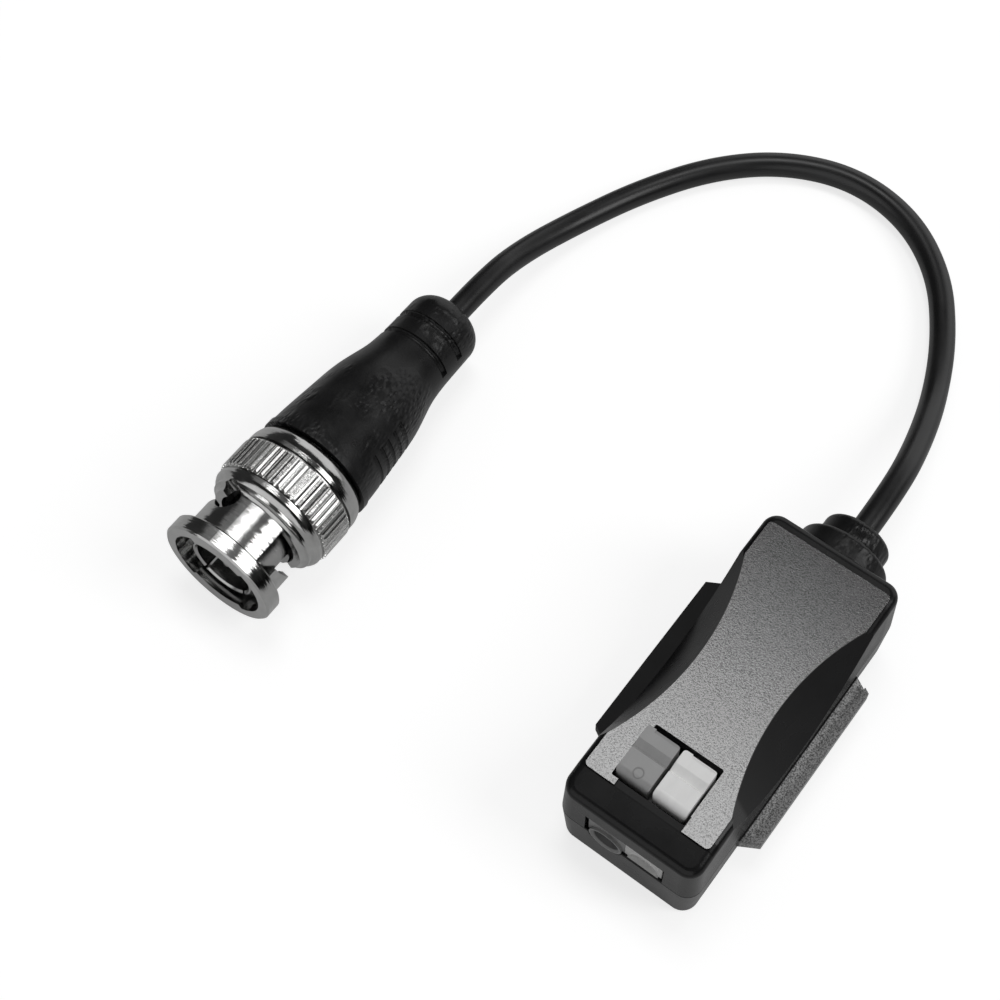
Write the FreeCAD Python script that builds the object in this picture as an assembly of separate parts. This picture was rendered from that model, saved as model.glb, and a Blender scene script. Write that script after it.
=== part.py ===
"""Video balun: a two-shell housing with push-button wire terminals, a short lead and a bayonet plug.

The housing lies flat, +Z up. X is its width, Y its length: the wire entries face -Y and the lead
leaves at +Y. The origin is the middle of the housing's underside. All lengths are millimetres.
The plug's pieces are drawn along +Y from the middle of the front rim, and then laid on the table
together: the plug rests on its knurl and on the lead, with its mouth raised a little.
"""
import FreeCAD, Part
import math
import os

from FreeCAD import Placement, Rotation, Vector

# Housing
housing_width = 16.0
housing_length = 37.0
parting_height = 6.8
parting_bevel = 0.09
shell_top = 13.5
pad_rise = 0.3
wall = 1.3
corner_radius = 1.7
upper_draft = 0.25
lower_draft = 0.3
top_edge_radius = 0.9
bottom_edge_radius = 0.9

# Raised grip pad, the two side scallops and the smooth band in front, which falls forward
pad_half_width = 7.1
pad_rear_margin = 1.8
pad_corner_radius = 0.5
front_band = 3.3
band_start = 0.1
band_fall = 0.5
waist_half_width = 4.65
scallop_centre_y = 0.4
scallop_half_length = 11.8
scallop_foot = 0.35
leg_left_x = -3.6
leg_right_x = 4.05

# Joint between the shells
tongue_height = 0.6
tongue_thickness = 0.5
tongue_clearance = 0.1

# Hooked rails on the sides, for clipping housings side by side
rail_length = 21.6
rail_bevel = 1.1
rail_centre_y = 0.6
rail_reach = 1.95
rail_thickness = 1.0
rail_lip_width = 0.65
rail_lip_height = 0.65
rail_end_wall = 0.5
rail_floor_height = 4.6
left_rail_height = 6.5

# Wire terminals
terminal_pitch = 4.3
terminal_gap = 0.04
terminal_length = 9.0
terminal_top = 9.95
terminal_inset = 0.2
terminal_setback = 0.35
face_window_half_width = 4.55
face_window_top = 10.3
nose_clearance = 0.05

# Wire entries: a wide funnel in the face, and a narrower bore that clears the lower shell
funnel_height = 7.0
funnel_radius = 1.7
funnel_depth = 1.0
funnel_wall = 0.2
funnel_reach = 0.3
notch_clearance = 0.08
entry_height = 7.8
entry_radius = 0.9
entry_depth = 7.5
entry_clearance = 0.05
clamp_opening = 2.0
clamp_opening_half = 0.8

# Lever buttons; the two caps sit a little to the left of their terminals
button_width = 3.8
button_length = 5.5
button_top = 14.6
button_cap_bottom = 12.4
button_side_gap = 0.12
button_end_gap = 0.4
button_corner_radius = 0.35
button_setback = 0.6
cap_pitch = 4.2
cap_offset = -0.32
cap_front_drop = 1.0
cap_front_run = 1.0
groove_share = 0.45
groove_depth = 0.42
groove_ramp = 0.9
groove_lip = 0.25
front_slope = 0.15
tab_share = 0.75
tab_depth = 0.4
tab_drop = 0.35
stem_width = 2.9
stem_bottom = 10.7
stem_front_inset = 0.25
stem_rear_inset = 0.15
pivot_height = 11.3
pivot_setback = 0.8
pivot_radius = 0.45
pivot_clearance = 0.05
ear_thickness = 0.5
ear_top = 12.1
ear_half_length = 0.95
foot_bottom = 9.7
foot_half_width = 0.8
foot_start = 3.1
foot_end = 4.1
foot_clearance = 0.6

# Window round the buttons
window_right_x = 3.95
window_rear_left_x = -3.85
window_rear_gap = 0.7
window_step_gap = 0.2
window_corner_radius = 0.2

# Clamp springs and contacts
strip_thickness = 0.25
strip_width = 2.4
strip_clearance = 0.05
spring_rise = 0.65
spring_setback = 2.0
spring_end = 1.2
pocket_setback = 1.4
contact_setback = 1.6
contact_end = 0.6
lead_pin_radius = 0.4
lead_pin_setback = 2.5
lead_pin_reach = 0.8
pin_clearance = 0.05

# Circuit board and what sits on it
board_bottom = 3.0
board_thickness = 1.0
board_width = 12.0
board_length = 26.6
board_margin = 0.6
board_corner = 0.6
post_radius = 0.9
post_inset_x = 1.1
post_inset_y = 1.6
core_outer_radius = 3.5
core_inner_radius = 1.5
core_height = 3.2
core_from_rear = 9.4
winding_thickness = 0.35
winding_sweep = 140.0
chip_length = 2.0
chip_width = 1.2
chip_spots = ((-3.6, 3.4, 1.0), (3.6, 3.4, 1.0), (3.6, 1.4, 0.7))
suppressor_radius = 1.1
suppressor_length = 3.4
suppressor_cap = 0.7
tail_lead_inset = 1.4
tail_lead_sizes = ((-0.9, 0.35), (0.9, 0.5))

# Strain relief
relief_height = 6.8
relief_groove_radius = 3.3
relief_flange_radius = 4.3
relief_flange_length = 1.1
relief_step_radius = 5.1
relief_step_length = 2.7
relief_neck_radius = 3.8
relief_neck_length = 2.7
relief_gap = 0.05

# How the plug lies: the middle of its front rim, its turn about Z and how far its mouth is raised
plug_x = -50.683
plug_face_y = -19.563
plug_turn = 0.87
plug_pitch = 3.1

# Coupling nut, measured along the plug's own axis from the front rim
nut_rim_radius = 6.85
nut_rim_length = 2.0
nut_rim_bevel = 0.2
nut_tube_radius = 5.7
nut_bore_radius = 4.85
bell_start = 6.6
bell_flare = ((6.95, 5.95), (7.16, 6.4))
bell_step = (7.5, 6.45)
bell_round = ((7.8, 6.78), (8.25, 7.0))
bell_end = 8.65
groove_bottom_radius = 6.78
groove_slant = 0.07
knurl_start = 9.0
knurl_length = 4.0
knurl_radius = 7.25
knurl_side_radius = 7.17
knurl_depth = 0.3
knurl_ribs = 60
knurl_bevel = 0.3
collar_gap = 0.2
collar_radius = 7.12
collar_end = 13.8
collar_round = ((14.75, 6.93), (15.75, 6.25))
nut_rear_bore = 5.9
nut_seat = 10.17

# Bayonet slots: round detent, ramp and way in, by angle from straight up towards +X
detent_angle = -30.0
detent_along = 6.05
detent_radius = 1.6
slot_rear = 6.53
slot_front = ((0.0, 5.3), (-16.0, 5.3), (-36.0, 5.0), (-47.0, 4.6), (-58.0, 4.1), (-69.0, 3.6), (-80.0, 3.4))
slot_way_in = (-80.0, -93.0, -106.0)
slot_inner_radius = 4.3
slot_outer_radius = 7.6
recess_radius = 5.55
recess_length = 1.6
recess_end_angle = 2.0

# Contacts and body inside the plug
sleeve_front = 0.8
sleeve_rear = 10.5
sleeve_radius = 4.05
sleeve_wall = 0.6
sleeve_slit = 0.4
sleeve_slit_rear = 6.0
sleeve_bevel = 0.2
fit_gap = 0.02
seat_length = 1.2
flange_front = 10.2
flange_thickness = 1.2
flange_play = 0.1
gasket_length = 0.7
neck_radius = 4.75
tail_radius = 4.2
tail_rear = 16.4
stem_radius = 3.0
stem_bore = 1.5
stem_rear = 24.0
insulator_front = 5.4
insulator_rear = 14.0
insulator_rear_radius = 2.6
pin_radius = 0.675
pin_front = 1.4
pin_tip_length = 0.7
pin_tip_share = 0.45
pin_cup_share = 1.5
pin_cup_length = 2.0
ferrule_wall = 0.5
back_ring_front = 13.4
back_ring_length = 1.2
washer_bore = 4.35
washer_play = 0.06
washer_thickness = 0.5
wave_height = 0.18
wave_steps = 36
wave_inner_play = 0.35
wave_outer_play = 0.25

# Moulded boot on the plug
boot_front = 15.85
boot_lip_radius = 6.85
boot_lip_length = 0.75
boot_knots = ((16.6, 6.72), (19.3, 6.54), (22.4, 6.24), (24.5, 6.04), (26.6, 5.74), (28.7, 5.24), (30.7, 4.77),
              (32.4, 4.57), (34.9, 4.47), (37.9, 4.42))
boot_end_round = (39.45, 4.0)
boot_rear = 40.1
boot_mouth_radius = 3.3
boot_groove_radius = 0.42
boot_groove_spots = (33.2, 36.0)
boot_groove_sweep = 215.0
boot_groove_facing = -27.0
grip_groove_radius = 0.3
grip_groove_spots = ((19.35, 6.53), (20.6, 6.42), (21.8, 6.3), (23.05, 6.18), (24.3, 6.06))
grip_groove_sweep = 60.0
grip_groove_facing = 90.0

# Lead
cord_diameter = 2.9
cord_exit = 6.7
cord_route = [
    (0.0, 31.0, 6.8),
    (-1.2, 38.6, 4.6),
    (-3.2, 46.0, 2.2),
    (-6.4, 53.4, 1.5),
    (-11.2, 60.4, 1.5),
    (-18.2, 65.2, 1.5),
    (-26.6, 66.4, 1.5),
    (-34.6, 63.4, 1.5),
    (-41.0, 57.6, 1.5),
    (-45.9, 49.8, 1.5),
    (-49.2, 41.6, 2.0),
    (-51.1, 33.9, 3.6),
]

# Places that follow from the sizes above
half_width = housing_width / 2
half_length = housing_length / 2
front_y = -half_length
rear_y = half_length
inner_top = shell_top - wall
pad_top = shell_top + pad_rise
pad_front_y = front_y + front_band
board_top = board_bottom + board_thickness
board_front_y = front_y + wall + board_margin
board_rear_y = board_front_y + board_length
core_y = board_rear_y - core_from_rear
terminal_front = front_y + wall + terminal_inset
terminal_rear = terminal_front + terminal_length
terminal_nose = front_y + terminal_setback
lead_pin_y = terminal_rear - lead_pin_setback
funnel_end_y = terminal_nose + funnel_depth
entry_end_y = terminal_nose + entry_depth
spring_low = entry_height + entry_radius + entry_clearance
spring_high = spring_low + spring_rise
contact_height = entry_height - entry_radius - entry_clearance - strip_thickness
button_rear_y = terminal_rear - button_setback
button_front_y = button_rear_y - button_length
pivot_y = button_rear_y - pivot_setback
window_left_x = cap_offset - cap_pitch / 2 - button_width / 2 - button_side_gap
window_rear_y = button_rear_y + window_rear_gap
window_step_y = button_rear_y + window_step_gap
window_front_y = button_front_y - button_end_gap
relief_inner_y = rear_y - wall - lower_draft - relief_gap
relief_end_y = rear_y + relief_gap + relief_step_length + relief_neck_length
knurl_end = knurl_start + knurl_length
nut_rear = collar_round[-1][0]
raised = math.radians(plug_pitch)
axis_height = knurl_radius * math.cos(raised) + (knurl_end - knurl_bevel) * math.sin(raised)
plug_place = Placement(Vector(plug_x, plug_face_y, axis_height),
                       Rotation(Vector(0, 0, 1), plug_turn) * Rotation(Vector(1, 0, 0), -plug_pitch))
up = Vector(0, 0, 1)
along_y = Vector(0, 1, 0)
along_x = Vector(1, 0, 0)

parts = {}


def box(x0, x1, y0, y1, z0, z1):
    """Block between two corners."""
    return Part.makeBox(x1 - x0, y1 - y0, z1 - z0, Vector(x0, y0, z0))


def rod(radius, start, length, direction):
    """Round bar from a point along a direction."""
    return Part.makeCylinder(radius, length, start, direction)


def ring(outer, inner, start, length, direction):
    """Plain ring or tube."""
    return rod(outer, start, length, direction).cut(rod(inner, start, length, direction))


def slab(points, depth):
    """Flat outline given as points, made solid along a vector."""
    return Part.Face(Part.makePolygon(points + [points[0]])).extrude(depth)


def rounded_outline(half_x, half_y, radius, height):
    """Rectangle with round corners, as a closed wire at one height."""
    corner = radius * (1 - math.sqrt(0.5))
    edges = []
    for sx, sy in ((1, 1), (-1, 1), (-1, -1), (1, -1)):
        a = Vector(sx * half_x, sy * (half_y - radius), height)
        m = Vector(sx * (half_x - corner), sy * (half_y - corner), height)
        b = Vector(sx * (half_x - radius), sy * half_y, height)
        if sx * sy > 0:
            edges.append(Part.Arc(a, m, b).toShape())
        else:
            edges.append(Part.Arc(b, m, a).toShape())
    corners = []
    for i, arc in enumerate(edges):
        following = edges[(i + 1) % 4]
        corners.append(arc)
        corners.append(Part.LineSegment(arc.Vertexes[-1].Point, following.Vertexes[0].Point).toShape())
    return Part.Wire(Part.__sortEdges__(corners))


def tapered_block(half_x, half_y, radius, sections):
    """Round-cornered block through outlines given as (inset, height), from the lowest up."""
    return Part.makeLoft([rounded_outline(half_x - inset, half_y - inset, radius, z) for inset, z in sections],
                         True, True)


def edges_at(shape, height):
    """Edges that lie wholly at one height."""
    return [e for e in shape.Edges
            if abs(e.BoundBox.ZMin - height) < 1e-4 and abs(e.BoundBox.ZMax - height) < 1e-4]


def upright_edges(shape, least):
    """Edges that stand upright and are longer than a given length."""
    return [e for e in shape.Edges if e.BoundBox.ZLength > least]


def scallop_tool(side, inward):
    """Slanted round cutter that hollows one side, moved inward by an offset."""
    rise = 1.0
    sagitta = pad_half_width - waist_half_width
    radius = (scallop_half_length ** 2 + sagitta ** 2) / (2 * sagitta)
    depth = pad_top - parting_height - scallop_foot
    slope = (half_width - waist_half_width) / depth
    centre_x = waist_half_width + radius - inward - slope * rise
    start = Vector(side * centre_x, scallop_centre_y, pad_top + rise)
    disc = Part.Face(Part.Wire(Part.makeCircle(radius, start, up)))
    fall = depth + rise + (0 if inward == 0 else scallop_foot + 1)
    return disc.extrude(Vector(side * slope * fall, 0, -fall))


def entry_spots():
    """Middle of each wire entry across the housing, grey side first."""
    return (-terminal_pitch / 2, terminal_pitch / 2)


def cap_spots():
    """Middle of each button cap across the housing, grey side first."""
    return (cap_offset - cap_pitch / 2, cap_offset + cap_pitch / 2)


def tongue_ring(clearance):
    """Upright rim on the lower shell that keys into the upper one."""
    half_x = half_width - wall
    half_y = half_length - wall
    low = parting_height - 0.2
    high = parting_height + tongue_height + clearance
    inner_radius = max(corner_radius - wall, 0.3)
    outer = Part.Face(rounded_outline(half_x + tongue_thickness + clearance,
                                      half_y + tongue_thickness + clearance,
                                      inner_radius + tongue_thickness, low))
    rim = outer.extrude(Vector(0, 0, high - low))
    if clearance == 0:
        inner = Part.Face(rounded_outline(half_x, half_y, inner_radius, low - 1))
        rim = rim.cut(inner.extrude(Vector(0, 0, high - low + 2)))
        gap = face_window_half_width + 0.3
        rim = rim.cut(box(-gap, gap, front_y - 1, front_y + wall + 1, low - 1, high + 1))
        gap = relief_groove_radius + relief_gap + 0.3
        rim = rim.cut(box(-gap, gap, rear_y - wall - 1, rear_y + 1, low - 1, high + 1))
    return rim


def relief_hole():
    """Round hole through the rear wall that the strain relief's groove sits in."""
    start = Vector(0, rear_y - wall - 1, relief_height)
    return rod(relief_groove_radius + relief_gap, start, wall + 2, along_y)


def make_upper_block():
    """Outside of the upper shell: leaning sides, the band that falls forward and a round top edge."""
    body = tapered_block(half_width, half_length, corner_radius,
                         ((parting_bevel, parting_height), (0, parting_height + parting_bevel),
                          (upper_draft, shell_top)))
    start_y = pad_front_y + band_start
    fall = band_fall * (start_y - front_y + 1) / (start_y - front_y)
    side_x = -half_width - 1
    wedge = slab([Vector(side_x, start_y, shell_top), Vector(side_x, front_y - 1, shell_top - fall),
                  Vector(side_x, front_y - 1, pad_top), Vector(side_x, start_y, pad_top)],
                 Vector(housing_width + 2, 0, 0))
    body = body.cut(wedge)
    rim = [e for e in body.Edges if e.BoundBox.ZMin > shell_top - band_fall - 0.05
           and not (e.BoundBox.YLength < 1e-3 and abs(e.CenterOfMass.y) < half_length - 1)]
    return body.makeFillet(top_edge_radius, rim)


def button_window():
    """Opening round the buttons; behind the caps it is narrower on the left."""
    low, high = inner_top - 1, pad_top + 1
    opening = box(window_left_x, window_right_x, window_front_y, window_step_y, low, high)
    opening = opening.fuse(box(window_rear_left_x, window_right_x, window_step_y - 1, window_rear_y, low, high))
    opening = opening.removeSplitter()
    return opening.makeFillet(window_corner_radius, upright_edges(opening, 1))


def make_upper_shell():
    """Top half: pad, scallops, button window and the window over the wire entries."""
    body = make_upper_block()
    pad_rear = rear_y - pad_rear_margin
    pad = box(-pad_half_width, pad_half_width, pad_front_y, pad_rear, shell_top - 0.5, pad_top)
    pad = pad.makeFillet(pad_corner_radius, upright_edges(pad, pad_rise))
    between_legs = box(leg_left_x, leg_right_x, pad_front_y - 1, window_front_y + 1, shell_top, pad_top + 1)
    body = body.fuse(pad.cut(between_legs)).removeSplitter()
    for side in (-1, 1):
        body = body.cut(scallop_tool(side, 0))
    cavity = tapered_block(half_width - wall, half_length - wall, max(corner_radius - wall, 0.3),
                           ((0, parting_height - 0.5), (upper_draft, inner_top)))
    for side in (-1, 1):
        cavity = cavity.cut(scallop_tool(side, wall))
    body = body.cut(cavity)
    body = body.cut(tongue_ring(tongue_clearance).cut(box(-half_width, half_width, front_y, rear_y,
                                                          0, parting_height - 0.5)))
    face_window = box(-face_window_half_width, face_window_half_width, front_y - 1,
                      front_y + wall + 0.5, parting_height - 1, face_window_top)
    return body.cut(button_window()).cut(face_window).cut(relief_hole())


def side_rail(side, floor_height, lip_direction):
    """Hooked rail along one side: a plate with bevelled ends, a lip outside and a stop in front."""
    reach = half_width + rail_reach
    root = half_width - wall * 0.6
    y0 = rail_centre_y - rail_length / 2
    y1 = rail_centre_y + rail_length / 2
    plan = [(root, y0 - rail_bevel * 0.3), (half_width, y0), (reach, y0 + rail_bevel),
            (reach, y1 - rail_bevel), (half_width, y1), (root, y1 + rail_bevel * 0.3)]
    low = floor_height - rail_thickness if lip_direction > 0 else floor_height
    lip_low = floor_height if lip_direction > 0 else floor_height - rail_lip_height
    plate = slab([Vector(side * x, y, low) for x, y in plan], Vector(0, 0, rail_thickness))
    lip = slab([Vector(side * x, y, lip_low) for x, y in plan], Vector(0, 0, rail_lip_height))
    edge = reach - rail_lip_width
    channel = [(root - 1, y0 + rail_end_wall), (half_width, y0 + rail_end_wall),
               (edge, y0 + rail_bevel + rail_end_wall), (edge, y1 + 1), (root - 1, y1 + 1)]
    channel = slab([Vector(side * x, y, lip_low - 1) for x, y in channel], Vector(0, 0, rail_lip_height + 2))
    return plate.fuse(lip.cut(channel))


def board_posts():
    """Middle of each post that carries the circuit board."""
    x = board_width / 2 - post_inset_x
    return [(sx * x, y) for sx in (-1, 1) for y in (board_front_y + post_inset_y, board_rear_y - post_inset_y)]


def make_lower_shell():
    """Bottom half: tub, key tongue, board posts and the two hooked side rails."""
    low = tapered_block(half_width, half_length, corner_radius,
                        ((lower_draft, 0), (0, parting_height - parting_bevel),
                         (parting_bevel, parting_height)))
    body = low.makeFillet(bottom_edge_radius, edges_at(low, 0))
    cavity = tapered_block(half_width - wall, half_length - wall, max(corner_radius - wall, 0.3),
                           ((lower_draft, wall), (0, parting_height)))
    body = body.cut(cavity)
    body = body.fuse(tongue_ring(0))
    body = body.fuse(side_rail(1, rail_floor_height, 1))
    body = body.fuse(side_rail(-1, left_rail_height - rail_thickness, -1))
    for x, y in board_posts():
        body = body.fuse(rod(post_radius, Vector(x, y, wall - 0.2), board_bottom - wall + 0.2, up))
    start = Vector(entry_spots()[0], front_y - 1, funnel_height)
    notch = rod(funnel_radius + funnel_wall + notch_clearance, start, wall + 1.5, along_y)
    return body.cut(notch).cut(relief_hole()).removeSplitter()


def entry_cutter(spot, mouth_y):
    """Wire entry: an oblique funnel from the face to the bore, the bore, and its opening at the clamp."""
    mouth = Part.Wire(Part.makeCircle(funnel_radius, Vector(spot, mouth_y, funnel_height), along_y))
    throat = Part.Wire(Part.makeCircle(entry_radius, Vector(spot, funnel_end_y, entry_height), along_y))
    funnel = Part.makeLoft([mouth, throat], True, True)
    bore = rod(entry_radius, Vector(spot, funnel_end_y, entry_height), entry_end_y - funnel_end_y, along_y)
    clamp = box(spot - clamp_opening_half, spot + clamp_opening_half, entry_end_y - clamp_opening,
                entry_end_y, contact_height + strip_thickness / 2, spring_low + strip_thickness / 2)
    return funnel, bore, clamp


def make_terminal(spot, proud):
    """Moulded terminal: wire entry with its funnel, spring pocket, contact slot and pivot ears."""
    half = terminal_pitch / 2 - terminal_gap / 2
    nose_low = parting_height + nose_clearance
    block = box(spot - half, spot + half, terminal_front, terminal_rear, board_top, terminal_top)
    nose = box(spot - half, spot + half, terminal_nose, terminal_front + 0.5,
               nose_low, face_window_top - nose_clearance)
    body = block.fuse(nose)
    mouth_y = terminal_nose
    if proud:
        mouth_y = terminal_nose - funnel_reach
        body = body.fuse(rod(funnel_radius + funnel_wall, Vector(spot, mouth_y, funnel_height),
                             terminal_front - mouth_y + 0.5, along_y))
    for edge in (-1, 1):
        inner = spot + edge * (half - ear_thickness)
        outer = spot + edge * half
        ear = box(min(inner, outer), max(inner, outer), pivot_y - ear_half_length,
                  pivot_y + ear_half_length, terminal_top - 0.2, ear_top)
        body = body.fuse(ear)
    bore = rod(pivot_radius + pivot_clearance, Vector(spot - half - 1, pivot_y, pivot_height),
               2 * half + 2, along_x)
    half_strip = strip_width / 2 + strip_clearance
    pocket_front = terminal_front + pocket_setback
    spring_pocket = box(spot - half_strip, spot + half_strip, pocket_front, terminal_rear + 1,
                        spring_low - fit_gap, spring_high + strip_thickness + strip_clearance)
    foot_hole = box(spot - half_strip, spot + half_strip, pivot_y - foot_end - foot_clearance,
                    pivot_y - foot_start + foot_clearance, spring_high, terminal_top + 1)
    contact_slot = box(spot - half_strip, spot + half_strip, pocket_front, terminal_rear + 1,
                       contact_height - fit_gap, contact_height + strip_thickness + fit_gap)
    pin_hole = rod(lead_pin_radius + pin_clearance, Vector(spot, lead_pin_y, 0), contact_height + 0.1, up)
    for cutter in (bore, spring_pocket, foot_hole, contact_slot, pin_hole) + entry_cutter(spot, mouth_y):
        body = body.cut(cutter)
    return body.removeSplitter()


def button_profile():
    """Side view of the button's cap, as points of (y, z) from the rear edge forward."""
    rear = button_rear_y
    front = button_front_y
    groove = rear - button_length * groove_share
    return [(rear, button_cap_bottom), (rear, button_top),
            (groove + groove_ramp, button_top), (groove, button_top - groove_depth),
            (groove - groove_lip, button_top - front_slope / 2),
            (front + cap_front_run, button_top - front_slope)], (front, button_top - cap_front_drop)


def make_button(spot, cap_spot):
    """Lever button: grooved cap, stem between the ears, pivot stubs and the foot over the spring."""
    points, nose = button_profile()
    half = button_width / 2
    line = [Vector(cap_spot - half, y, z) for y, z in points]
    tip = Vector(cap_spot - half, nose[0], nose[1])
    top = line[-1]
    bulge = Vector(cap_spot - half, nose[0] + (top.y - nose[0]) * 0.26, nose[1] + (top.z - nose[1]) * 0.72)
    bottom = Vector(cap_spot - half, nose[0], button_cap_bottom)
    edges = [Part.LineSegment(a, b).toShape() for a, b in zip(line, line[1:])]
    edges.append(Part.Arc(top, bulge, tip).toShape())
    edges.append(Part.LineSegment(tip, bottom).toShape())
    edges.append(Part.LineSegment(bottom, line[0]).toShape())
    cap = Part.Face(Part.Wire(edges)).extrude(Vector(button_width, 0, 0))
    plan = box(-half, half, -button_length / 2, button_length / 2, button_cap_bottom - 1, button_top + 1)
    plan = plan.makeFillet(button_corner_radius, upright_edges(plan, 1))
    plan.translate(Vector(cap_spot, (button_rear_y + button_front_y) / 2, 0))
    cap = cap.common(plan)
    tab_x = cap_spot + half - button_width * tab_share
    tab_y = button_rear_y - tab_depth
    past_y = button_rear_y + 1
    tab = slab([Vector(tab_x, tab_y, button_top), Vector(tab_x, tab_y, button_top + 1),
                Vector(tab_x, past_y, button_top + 1), Vector(tab_x, past_y, button_top - tab_drop),
                Vector(tab_x, button_rear_y, button_top - tab_drop)], Vector(button_width, 0, 0))
    cap = cap.cut(tab)
    stem_half = stem_width / 2
    stem = box(spot - stem_half, spot + stem_half, button_front_y + stem_front_inset,
               button_rear_y - stem_rear_inset, stem_bottom, button_cap_bottom + 0.2)
    pins = rod(pivot_radius, Vector(spot - terminal_pitch / 2 + terminal_gap, pivot_y, pivot_height),
               terminal_pitch - 2 * terminal_gap, along_x)
    foot = box(spot - foot_half_width, spot + foot_half_width, pivot_y - foot_end, pivot_y - foot_start,
               foot_bottom, stem_bottom + 0.2)
    return cap.fuse(stem).fuse(pins).fuse(foot).removeSplitter()


def strip_loop(spot):
    """Clamp spring: a flat strip folded back on itself, opening towards the wire entry."""
    x0 = spot - strip_width / 2
    rear = terminal_rear - spring_end
    middle = (spring_low + spring_high + strip_thickness) / 2
    outer = (spring_high + strip_thickness - spring_low) / 2
    low_leg = box(x0, x0 + strip_width, terminal_front + spring_setback, rear, spring_low,
                  spring_low + strip_thickness)
    high_leg = box(x0, x0 + strip_width, pivot_y - foot_end - foot_clearance / 2, rear, spring_high,
                   spring_high + strip_thickness)
    fold = rod(outer, Vector(x0, rear, middle), strip_width, along_x)
    fold = fold.cut(rod(outer - strip_thickness, Vector(x0 - 1, rear, middle), strip_width + 2, along_x))
    fold = fold.common(box(x0, x0 + strip_width, rear, rear + 2, spring_low - 1, spring_high + 2))
    return low_leg.fuse(high_leg).fuse(fold).removeSplitter()


def make_contact(spot):
    """Contact under the wire entry, with the pin that goes down through the board."""
    plate = box(spot - strip_width / 2, spot + strip_width / 2, terminal_front + contact_setback,
                terminal_rear - contact_end, contact_height, contact_height + strip_thickness)
    low = board_bottom - lead_pin_reach
    pin = rod(lead_pin_radius, Vector(spot, lead_pin_y, low), contact_height + 0.1 - low, up)
    return plate.fuse(pin).removeSplitter()


def make_board():
    """Circuit board with the holes that the contact pins go through."""
    board = box(-board_width / 2, board_width / 2, board_front_y, board_rear_y, board_bottom, board_top)
    board = board.makeChamfer(board_corner, upright_edges(board, board_thickness / 2))
    for spot in entry_spots():
        start = Vector(spot, lead_pin_y, board_bottom - 1)
        board = board.cut(rod(lead_pin_radius + pin_clearance, start, board_thickness + 2, up))
    return board


def make_core():
    """Ferrite ring of the transformer."""
    base = Vector(0, core_y, board_top + winding_thickness)
    core = ring(core_outer_radius, core_inner_radius, base, core_height, up)
    return core.makeChamfer(0.25, [e for e in core.Edges if e.BoundBox.ZLength < 1e-6])


def make_winding():
    """The two windings: each covers one side of the ring all the way round its section."""
    base = Vector(0, core_y, board_top)
    height = core_height + 2 * winding_thickness
    sleeve = ring(core_outer_radius + winding_thickness, core_inner_radius - winding_thickness,
                  base, height, up)
    sleeve = sleeve.cut(ring(core_outer_radius + 0.01, core_inner_radius - 0.01,
                             base + Vector(0, 0, winding_thickness - 0.01), core_height + 0.02, up))
    reach = core_outer_radius + 2
    halves = []
    for turn in (0, 180):
        wedge = Part.makeCylinder(reach, height + 2, base - Vector(0, 0, 1), up, winding_sweep)
        wedge.rotate(Vector(0, core_y, 0), up, turn - winding_sweep / 2)
        halves.append(sleeve.common(wedge))
    return Part.makeCompound(halves)


def make_chips():
    """Small parts behind the transformer: two resistors and a capacitor."""
    chips = []
    for x, from_rear, rise in chip_spots:
        y = board_rear_y - from_rear
        chips.append(box(x - chip_length / 2, x + chip_length / 2, y - chip_width / 2, y + chip_width / 2,
                         board_top, board_top + rise))
    return Part.makeCompound(chips)


def make_suppressor():
    """Surge suppressor: a round body with an end cap at each end."""
    start = Vector(-suppressor_length / 2, board_rear_y - chip_spots[0][1], board_top + suppressor_radius)
    body = rod(suppressor_radius - 0.1, start, suppressor_length, along_x)
    for x in (0, suppressor_length - suppressor_cap):
        body = body.fuse(rod(suppressor_radius, start + Vector(x, 0, 0), suppressor_cap, along_x))
    return body.removeSplitter()


def rounded_path(points, share=0.45, show=False):
    """Straight runs joined by tangent arcs, each arc as large as its two runs allow."""
    edges = []
    cursor = points[0]
    for before, corner, after in zip(points, points[1:], points[2:]):
        way_in = (corner - before).normalize()
        way_out = (after - corner).normalize()
        reach = share * min((corner - before).Length, (after - corner).Length)
        turn = way_in.getAngle(way_out)
        radius = reach / math.tan(turn / 2)
        if show:
            print("lead radius %.1f mm" % radius)
        start = corner - way_in * reach
        end = corner + way_out * reach
        inward = (way_out - way_in).normalize()
        middle = corner + inward * (radius / math.cos(turn / 2) - radius)
        if (start - cursor).Length > 1e-6:
            edges.append(Part.LineSegment(cursor, start).toShape())
        edges.append(Part.Arc(start, middle, end).toShape())
        cursor = end
    edges.append(Part.LineSegment(cursor, points[-1]).toShape())
    return Part.Wire(edges)


def tube_along(path, radius):
    """Round bar swept along a path."""
    first = path.Vertexes[0].Point
    heading = path.Edges[0].tangentAt(path.Edges[0].FirstParameter)
    section = Part.Wire(Part.makeCircle(radius, first, heading))
    return path.makePipeShell([section], True, False)


def make_tail_leads():
    """The lead's core and screen, from the strain relief down to the board."""
    leads = []
    inner_y = relief_inner_y - relief_flange_length
    end_y = board_rear_y - tail_lead_inset
    for x, radius in tail_lead_sizes:
        points = [Vector(x, inner_y, relief_height), Vector(x, end_y, relief_height),
                  Vector(x, end_y, board_top)]
        leads.append(tube_along(rounded_path(points), radius))
    return Part.makeCompound(leads)


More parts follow.
